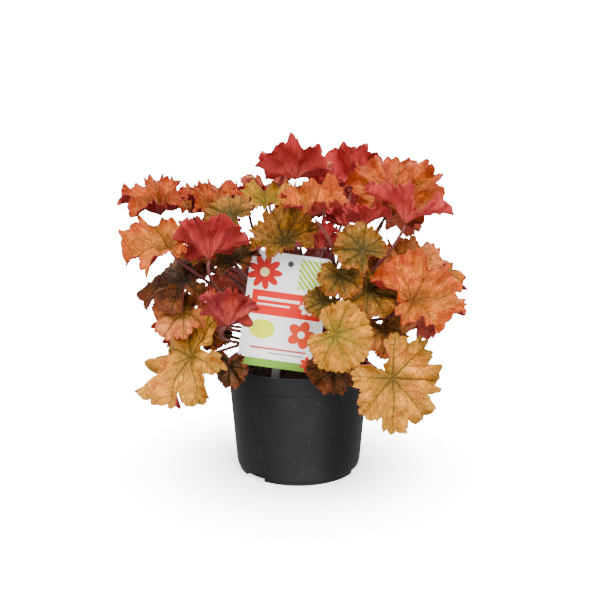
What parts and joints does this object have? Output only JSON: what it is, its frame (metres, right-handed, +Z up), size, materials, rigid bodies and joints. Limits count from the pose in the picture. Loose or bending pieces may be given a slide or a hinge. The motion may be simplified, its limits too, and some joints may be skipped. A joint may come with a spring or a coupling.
{
  "type": "potted heuchera plant",
  "caption": "Evergreen perennial with lobed, ruffled amber and crimson leaves on thin stalks from one crown, in a round black nursery pot with a plastic plant label.",
  "frame": {"origin": "centre of the flat middle of the pot's base, on the surface that the pot stands on", "axes": "+Z up along the pot's axis; -Y is the front, where the label faces; +X is to the right as seen from the front"},
  "size_m": [0.3116, 0.2661, 0.3066],
  "materials": {
    "pot": "satin black injection-moulded polypropylene",
    "soil": "dark peat-based potting mix",
    "crown": "brown woody crown with old stalk scales",
    "leaf": "satin, finely hairy leaf tissue: amber and orange above, crimson to magenta below",
    "label": "printed glossy polystyrene card",
    "stake": "plain grey moulded plastic"
  },
  "bodies": {
    "root": {"pot": "pot", "soil": "soil", "crown": "crown", "leaf_01": "leaf", "leaf_02": "leaf", "leaf_03": "leaf", "leaf_04": "leaf", "leaf_05": "leaf", "leaf_06": "leaf", "leaf_07": "leaf", "leaf_08": "leaf", "leaf_09": "leaf", "leaf_10": "leaf", "leaf_11": "leaf", "leaf_12": "leaf", "leaf_13": "leaf", "leaf_14": "leaf", "leaf_15": "leaf", "leaf_16": "leaf", "leaf_17": "leaf", "leaf_18": "leaf", "leaf_19": "leaf", "leaf_20": "leaf", "leaf_21": "leaf", "leaf_22": "leaf", "leaf_23": "leaf", "leaf_24": "leaf", "leaf_25": "leaf", "leaf_26": "leaf", "leaf_27": "leaf", "leaf_28": "leaf", "leaf_29": "leaf", "leaf_30": "leaf", "leaf_31": "leaf", "leaf_32": "leaf", "leaf_33": "leaf", "leaf_34": "leaf", "leaf_35": "leaf", "leaf_36": "leaf", "leaf_37": "leaf", "leaf_38": "leaf", "leaf_39": "leaf", "leaf_40": "leaf", "leaf_41": "leaf", "leaf_42": "leaf", "leaf_43": "leaf", "leaf_44": "leaf", "leaf_45": "leaf", "leaf_46": "leaf", "leaf_47": "leaf", "leaf_48": "leaf", "leaf_49": "leaf", "leaf_50": "leaf", "leaf_51": "leaf", "leaf_52": "leaf", "label_card": "label", "label_stake": "stake"}
  },
  "joints": []
}
